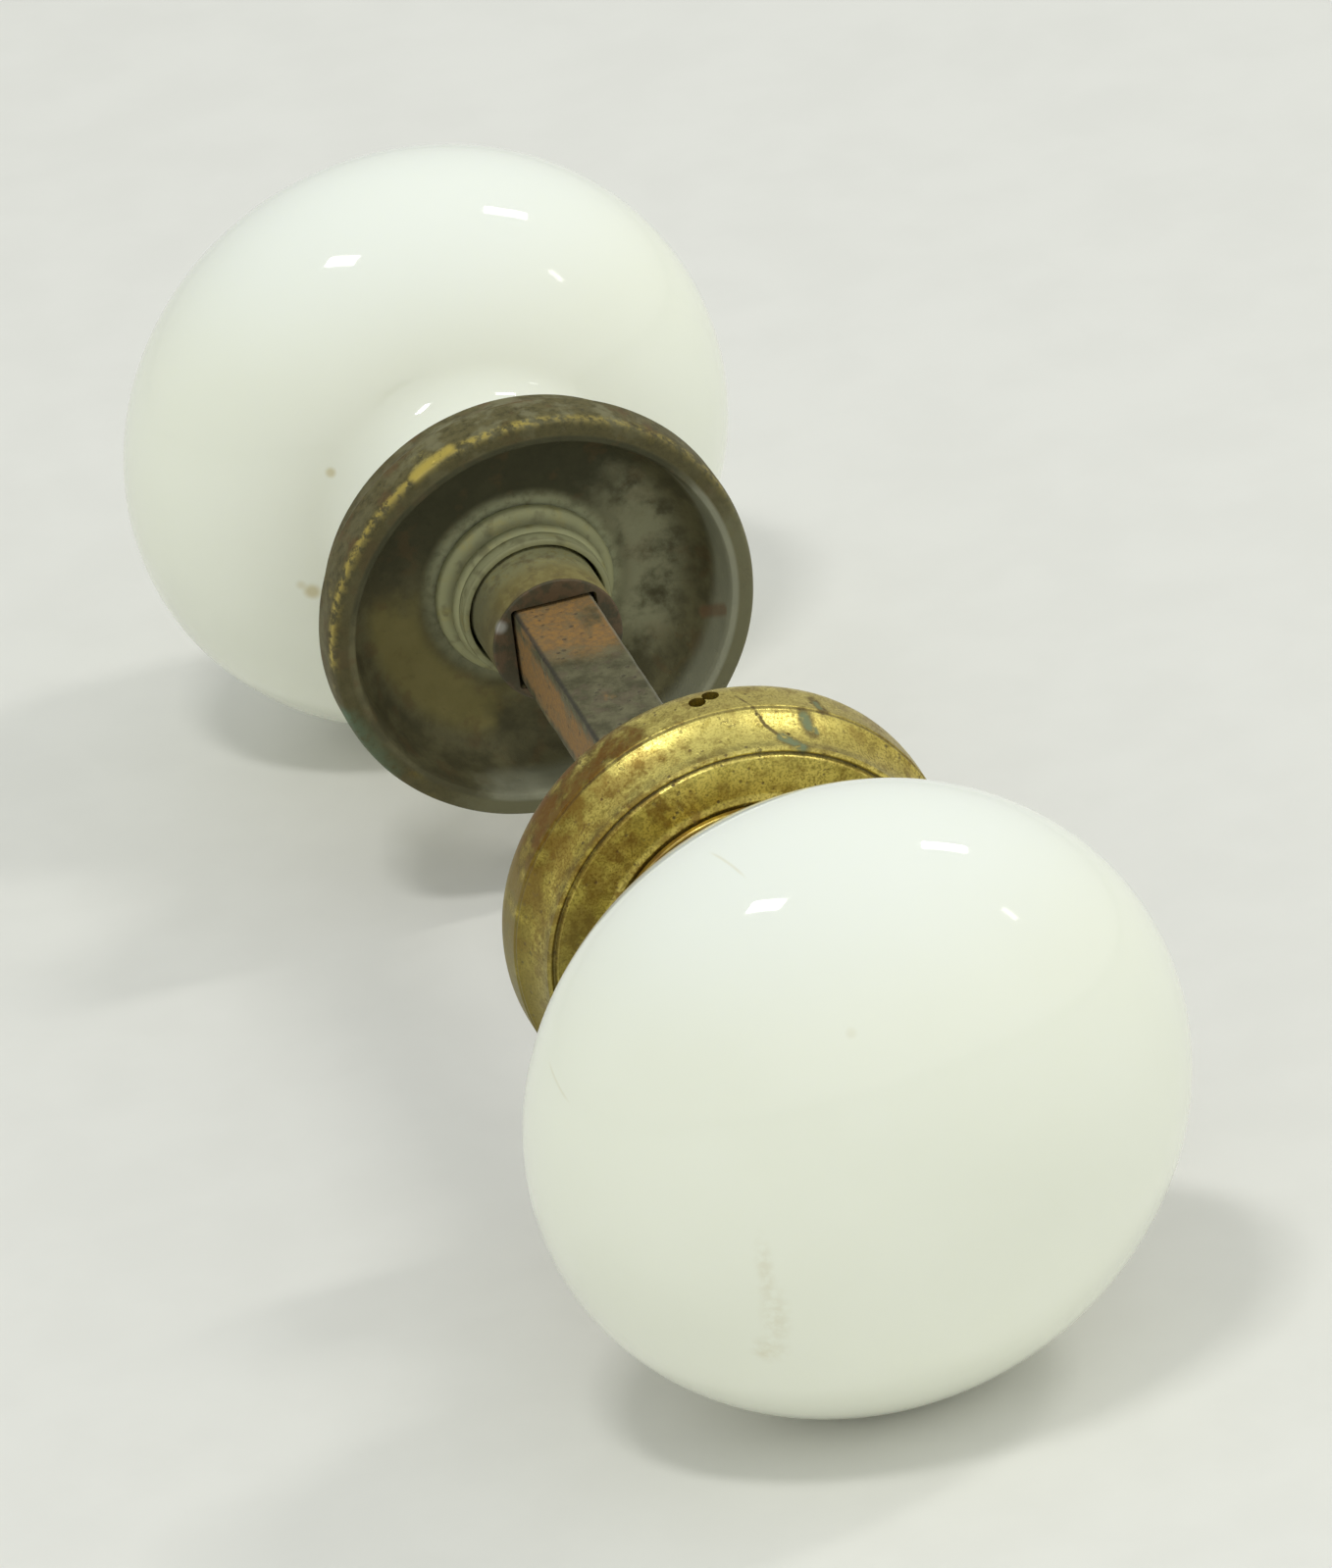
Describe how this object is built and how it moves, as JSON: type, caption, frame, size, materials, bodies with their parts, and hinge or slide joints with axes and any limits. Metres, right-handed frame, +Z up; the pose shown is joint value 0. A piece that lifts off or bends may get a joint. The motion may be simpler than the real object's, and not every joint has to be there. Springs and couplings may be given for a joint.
{
  "type": "door knob set",
  "caption": "Pair of white glazed ball door knobs on a square iron spindle, each with a turned, hollow-backed brass rose; the far knob slides to suit the door.",
  "frame": {"origin": "middle of the square spindle, half way through the door", "axes": "+Y along the spindle from the near knob to the adjustable far knob, +Z up, out of a flat of the spindle"},
  "size_m": [0.057, 0.1646, 0.057],
  "materials": {
    "knob_glaze": "glossy white glaze, warm and faintly green, with a few brown stains",
    "plaster": "matt off-white plaster fill",
    "shank_brass": "dull olive brass, stained red-brown at its open end",
    "spindle_iron": "orange and grey rusted iron bar",
    "collar_brass": "worn brass, brighter at the edges",
    "washer_brass": "worn brass",
    "bush_brass": "dull olive tarnished brass",
    "near_rose_brass": "aged golden brass with brown patina and verdigris spots",
    "far_rose_brass": "dark tarnished brass, grey-green inside the hollow",
    "pin_steel": "dull steel"
  },
  "bodies": {
    "near_rose_set": {"near_rose": "near_rose_brass", "near_rose_bush": "bush_brass", "near_thrust_washer": "washer_brass"},
    "near_knob_set": {"near_knob_head": "knob_glaze", "near_cement": "plaster", "near_shank": "shank_brass", "near_neck_collar": "collar_brass", "near_cross_pin": "pin_steel", "spindle": "spindle_iron"},
    "far_knob_set": {"far_knob_head": "knob_glaze", "far_cement": "plaster", "far_shank": "shank_brass", "far_neck_collar": "collar_brass"},
    "far_rose_set": {"far_rose": "far_rose_brass", "far_rose_bush": "bush_brass", "far_thrust_washer": "washer_brass"},
    "grub_screw": {"far_grub_screw": "pin_steel"}
  },
  "joints": [
    {"name": "knob_turn", "type": "hinge", "parent": "near_rose_set", "child": "near_knob_set", "pos_m": [0, 0, 0], "axis": [0, 1, 0], "continuous": true},
    {"name": "door_thickness_slide", "type": "slide", "parent": "near_knob_set", "child": "far_knob_set", "axis": [0, 1, 0], "range_m": [-0.006, 0.006]},
    {"name": "far_rose_turn", "type": "hinge", "parent": "far_knob_set", "child": "far_rose_set", "pos_m": [0, 0, 0], "axis": [0, 1, 0], "continuous": true},
    {"name": "grub_screw_travel", "type": "slide", "parent": "far_knob_set", "child": "grub_screw", "axis": [0, 0, 1], "range_m": [0, 0.003]}
  ],
  "couplings": [
    {"joint": "far_rose_turn", "follows": "knob_turn", "ratio": -1}
  ]
}
